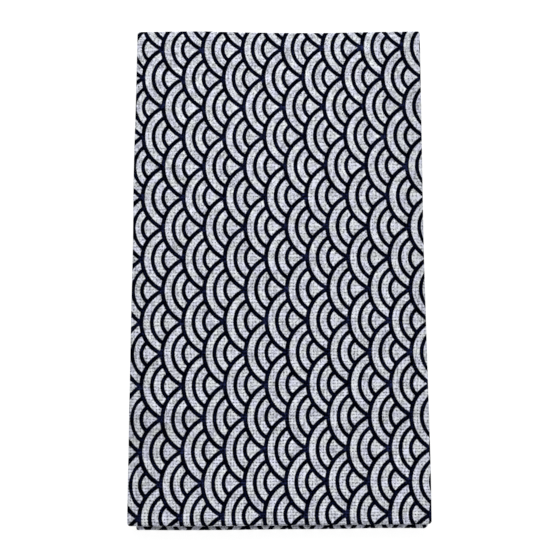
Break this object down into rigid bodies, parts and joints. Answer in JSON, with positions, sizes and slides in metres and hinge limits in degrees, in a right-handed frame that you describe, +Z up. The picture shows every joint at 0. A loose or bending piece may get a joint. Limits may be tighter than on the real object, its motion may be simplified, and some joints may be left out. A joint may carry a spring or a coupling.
{
  "type": "folded tenugui towel",
  "caption": "Thin dyed cotton towel with a wave-scale print, folded lengthwise into a strip and then back and forth into a neat flat rectangle.",
  "frame": {"origin": "centre of the outline, on the surface that the folded towel rests on", "axes": "+Z up, +Y along the folded panel towards its back edge, +X across it to the right"},
  "size_m": [0.1168, 0.2024, 0.0073],
  "materials": {
    "printed_cotton": "matt plain-weave cotton, white with a dark blue print"
  },
  "bodies": {
    "root": {"towel": "printed_cotton"}
  },
  "joints": []
}
